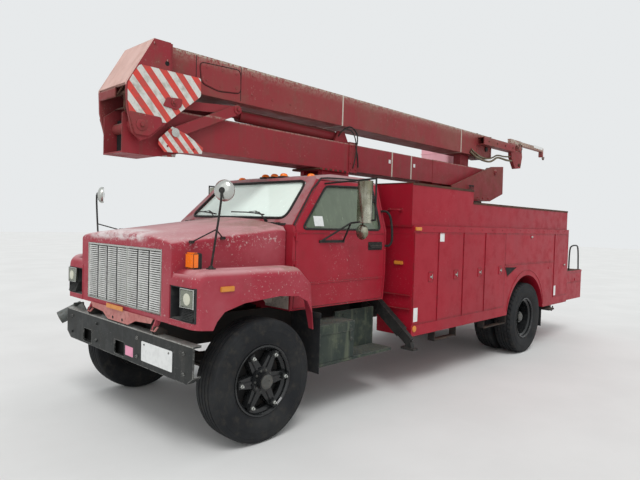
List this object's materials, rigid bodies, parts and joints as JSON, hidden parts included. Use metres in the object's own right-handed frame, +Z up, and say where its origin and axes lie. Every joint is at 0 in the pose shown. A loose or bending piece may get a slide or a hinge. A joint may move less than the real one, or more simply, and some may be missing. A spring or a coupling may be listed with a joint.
{
  "type": "bucket truck",
  "caption": "Bonneted two-axle utility truck with side compartments, outriggers and a folding insulated boom that carries a bucket.",
  "frame": {"origin": "on the ground, under the middle of the whole machine's box", "axes": "+X forward, +Y to the driver's left side, +Z up"},
  "size_m": [8.68, 2.786, 3.4997],
  "materials": {
    "cab_red": "faded dull red paint, chalky and speckled",
    "body_red": "deep red paint with rusty edges",
    "boom_red": "brownish red paint with lichen on top",
    "fibreglass_red": "painted fibreglass, worn",
    "bucket_pink": "faded pink fibreglass",
    "frame_black": "black chassis paint, dusty",
    "bumper_black": "black paint worn to bare steel on the edges",
    "wheel_black": "gloss black paint on cast spokes",
    "tyre_rubber": "weathered black rubber",
    "clear_glass": "green tinted glass",
    "grille_silver": "dull silver",
    "lamp_dark": "black recess with a clear lamp",
    "trim_black": "black enamel tubes",
    "seat_grey": "dark vinyl and plastic",
    "step_grey": "weathered grey-green steel",
    "engine_iron": "oily grey iron",
    "rod_chrome": "polished rod"
  },
  "bodies": {
    "chassis": {"frame": "frame_black", "axles": "frame_black", "engine_block": "engine_iron", "front_bumper": "bumper_black", "cab_shell": "cab_red", "cab_glass": "clear_glass", "cab_interior": "seat_grey", "steps": "step_grey", "body_side_left": "body_red", "body_side_right": "body_red", "deck": "body_red", "outrigger_frame": "frame_black"},
    "hood": {"hood": "cab_red", "grille": "grille_silver", "headlamps": "lamp_dark", "hood_mirrors": "trim_black"},
    "turret": {"turret": "boom_red"},
    "lower_boom": {"lower_boom": "boom_red", "lower_boom_insulator": "fibreglass_red"},
    "lift_barrel": {"lift_cylinder_barrel": "boom_red"},
    "lift_rod": {"lift_cylinder_rod": "rod_chrome"},
    "upper_boom": {"upper_boom": "boom_red", "elbow_head": "boom_red"},
    "elbow_barrel": {"elbow_cylinder_barrel": "boom_red"},
    "elbow_rod": {"elbow_cylinder_rod": "rod_chrome"},
    "link_arms": {"link_arms": "boom_red"},
    "link_bars": {"link_bars": "boom_red"},
    "level_shaft": {"level_shaft": "frame_black"},
    "bucket": {"bucket": "bucket_pink"},
    "cab_door_left": {"cab_door_left": "cab_red", "door_glass_left": "clear_glass", "door_mirror_left": "trim_black"},
    "knuckle_left": {"knuckle_left": "frame_black"},
    "front_wheel_left": {"tyre_front_left": "tyre_rubber", "wheel_front_left": "wheel_black"},
    "rear_wheels_left": {"tyres_rear_left": "tyre_rubber", "wheels_rear_left": "wheel_black"},
    "outrigger_leg_left": {"outrigger_leg_left": "frame_black"},
    "door_tall_1_left": {"door_tall_1_left": "body_red"},
    "door_tall_2_left": {"door_tall_2_left": "body_red"},
    "door_tall_3_left": {"door_tall_3_left": "body_red"},
    "door_tall_4_left": {"door_tall_4_left": "body_red"},
    "door_rear_left": {"door_rear_left": "body_red"},
    "door_wheel_left": {"door_wheel_left": "body_red"},
    "cab_door_right": {"cab_door_right": "cab_red", "door_glass_right": "clear_glass", "door_mirror_right": "trim_black"},
    "knuckle_right": {"knuckle_right": "frame_black"},
    "front_wheel_right": {"tyre_front_right": "tyre_rubber", "wheel_front_right": "wheel_black"},
    "rear_wheels_right": {"tyres_rear_right": "tyre_rubber", "wheels_rear_right": "wheel_black"},
    "outrigger_leg_right": {"outrigger_leg_right": "frame_black"},
    "door_tall_1_right": {"door_tall_1_right": "body_red"},
    "door_tall_2_right": {"door_tall_2_right": "body_red"},
    "door_tall_3_right": {"door_tall_3_right": "body_red"},
    "door_tall_4_right": {"door_tall_4_right": "body_red"},
    "door_rear_right": {"door_rear_right": "body_red"},
    "door_wheel_right": {"door_wheel_right": "body_red"}
  },
  "joints": [
    {"name": "hood_tilt", "type": "hinge", "parent": "chassis", "child": "hood", "pos_m": [4.235, 0, 0.968], "axis": [0, 1, 0], "range_deg": [0, 38]},
    {"name": "cab_door_left", "type": "hinge", "parent": "chassis", "child": "cab_door_left", "pos_m": [3.008, 0.972, 1.5], "axis": [0, 0, -1], "range_deg": [0, 60]},
    {"name": "steer_left", "type": "hinge", "parent": "chassis", "child": "knuckle_left", "pos_m": [3.51, 0.86, 0.527], "axis": [0, 0, 1], "range_deg": [-33, 33]},
    {"name": "front_wheel_left", "type": "hinge", "parent": "knuckle_left", "child": "front_wheel_left", "pos_m": [3.51, 1.032, 0.527], "axis": [0, 1, 0], "continuous": true},
    {"name": "rear_wheels_left", "type": "hinge", "parent": "chassis", "child": "rear_wheels_left", "pos_m": [-1.595, 0.907, 0.527], "axis": [0, 1, 0], "continuous": true},
    {"name": "outrigger_left", "type": "slide", "parent": "chassis", "child": "outrigger_leg_left", "axis": [0, 0.788, -0.6157], "range_m": [0, 0.83]},
    {"name": "door_tall_1_left", "type": "hinge", "parent": "chassis", "child": "door_tall_1_left", "pos_m": [1.446, 1.22, 1.283], "axis": [0, 0, -1], "range_deg": [0, 110]},
    {"name": "door_tall_2_left", "type": "hinge", "parent": "chassis", "child": "door_tall_2_left", "pos_m": [0.944, 1.22, 1.283], "axis": [0, 0, -1], "range_deg": [0, 110]},
    {"name": "door_tall_3_left", "type": "hinge", "parent": "chassis", "child": "door_tall_3_left", "pos_m": [0.366, 1.22, 1.283], "axis": [0, 0, -1], "range_deg": [0, 110]},
    {"name": "door_tall_4_left", "type": "hinge", "parent": "chassis", "child": "door_tall_4_left", "pos_m": [-0.204, 1.22, 1.283], "axis": [0, 0, -1], "range_deg": [0, 110]},
    {"name": "door_rear_left", "type": "hinge", "parent": "chassis", "child": "door_rear_left", "pos_m": [-2.588, 1.22, 1.283], "axis": [0, 0, -1], "range_deg": [0, 90]},
    {"name": "door_wheel_left", "type": "hinge", "parent": "chassis", "child": "door_wheel_left", "pos_m": [-1.691, 1.22, 1.352], "axis": [-1, 0, 0], "range_deg": [0, 90]},
    {"name": "cab_door_right", "type": "hinge", "parent": "chassis", "child": "cab_door_right", "pos_m": [3.008, -0.972, 1.5], "axis": [0, 0, 1], "range_deg": [0, 60]},
    {"name": "steer_right", "type": "hinge", "parent": "chassis", "child": "knuckle_right", "pos_m": [3.51, -0.86, 0.527], "axis": [0, 0, 1], "range_deg": [-33, 33]},
    {"name": "front_wheel_right", "type": "hinge", "parent": "knuckle_right", "child": "front_wheel_right", "pos_m": [3.51, -1.032, 0.527], "axis": [0, 1, 0], "continuous": true},
    {"name": "rear_wheels_right", "type": "hinge", "parent": "chassis", "child": "rear_wheels_right", "pos_m": [-1.595, -0.907, 0.527], "axis": [0, 1, 0], "continuous": true},
    {"name": "outrigger_right", "type": "slide", "parent": "chassis", "child": "outrigger_leg_right", "axis": [0, -0.788, -0.6157], "range_m": [0, 0.83]},
    {"name": "door_tall_1_right", "type": "hinge", "parent": "chassis", "child": "door_tall_1_right", "pos_m": [1.446, -1.22, 1.283], "axis": [0, 0, 1], "range_deg": [0, 110]},
    {"name": "door_tall_2_right", "type": "hinge", "parent": "chassis", "child": "door_tall_2_right", "pos_m": [0.944, -1.22, 1.283], "axis": [0, 0, 1], "range_deg": [0, 110]},
    {"name": "door_tall_3_right", "type": "hinge", "parent": "chassis", "child": "door_tall_3_right", "pos_m": [0.366, -1.22, 1.283], "axis": [0, 0, 1], "range_deg": [0, 110]},
    {"name": "door_tall_4_right", "type": "hinge", "parent": "chassis", "child": "door_tall_4_right", "pos_m": [-0.204, -1.22, 1.283], "axis": [0, 0, 1], "range_deg": [0, 110]},
    {"name": "door_rear_right", "type": "hinge", "parent": "chassis", "child": "door_rear_right", "pos_m": [-2.588, -1.22, 1.283], "axis": [0, 0, 1], "range_deg": [0, 90]},
    {"name": "door_wheel_right", "type": "hinge", "parent": "chassis", "child": "door_wheel_right", "pos_m": [-1.691, -1.22, 1.352], "axis": [1, 0, 0], "range_deg": [0, 90]},
    {"name": "slew", "type": "hinge", "parent": "chassis", "child": "turret", "pos_m": [-1.64, 0, 2.32], "axis": [0, 0, 1], "continuous": true},
    {"name": "lower_boom_raise", "type": "hinge", "parent": "turret", "child": "lower_boom", "pos_m": [-2.244, 0, 2.817], "axis": [0, -1, 0], "range_deg": [0, 75]},
    {"name": "lift_cylinder_swing", "type": "hinge", "parent": "turret", "child": "lift_barrel", "pos_m": [-1.944, 0, 2.43], "axis": [0, -1, 0], "range_deg": [0, 75.1]},
    {"name": "lift_cylinder_stroke", "type": "slide", "parent": "lift_barrel", "child": "lift_rod", "axis": [1, 0, 0], "range_m": [0, 0.59618]},
    {"name": "upper_boom_unfold", "type": "hinge", "parent": "lower_boom", "child": "upper_boom", "pos_m": [4.205, 0, 2.663], "axis": [0, 1, 0], "range_deg": [0, 180]},
    {"name": "elbow_cylinder_swing", "type": "hinge", "parent": "lower_boom", "child": "elbow_barrel", "pos_m": [1.475, 0, 2.95], "axis": [0, -1, 0], "range_deg": [0, 3.09]},
    {"name": "elbow_cylinder_stroke", "type": "slide", "parent": "elbow_barrel", "child": "elbow_rod", "axis": [0.9999, 0, 0.0125], "range_m": [0, 1.28754]},
    {"name": "link_arm_swing", "type": "hinge", "parent": "lower_boom", "child": "link_arms", "pos_m": [3.856, 0, 2.649], "axis": [0, 1, 0], "range_deg": [0, 114.74]},
    {"name": "link_bar_swing", "type": "hinge", "parent": "upper_boom", "child": "link_bars", "pos_m": [3.889, 0, 2.907], "axis": [0, -1, 0], "range_deg": [0, 101.35]},
    {"name": "bucket_level_lower", "type": "hinge", "parent": "upper_boom", "child": "level_shaft", "pos_m": [-2.11, 0, 3.2], "axis": [0, 1, 0], "range_deg": [0, 75]},
    {"name": "bucket_level_upper", "type": "hinge", "parent": "level_shaft", "child": "bucket", "pos_m": [-2.11, 0, 3.2], "axis": [0, 1, 0], "range_deg": [-180, 0]}
  ],
  "couplings": [
    {"joint": "steer_right", "follows": "steer_left", "ratio": 1},
    {"joint": "lift_cylinder_swing", "follows": "lower_boom_raise", "ratio": 1.0013},
    {"joint": "lift_cylinder_stroke", "follows": "lower_boom_raise", "m_per_rad": 0.45544},
    {"joint": "elbow_cylinder_swing", "follows": "upper_boom_unfold", "ratio": 0.017182},
    {"joint": "elbow_cylinder_stroke", "follows": "upper_boom_unfold", "m_per_rad": 0.40983},
    {"joint": "link_arm_swing", "follows": "upper_boom_unfold", "ratio": 0.63742},
    {"joint": "link_bar_swing", "follows": "upper_boom_unfold", "ratio": 0.56305},
    {"joint": "bucket_level_lower", "follows": "lower_boom_raise", "ratio": 1},
    {"joint": "bucket_level_upper", "follows": "upper_boom_unfold", "ratio": -1}
  ]
}
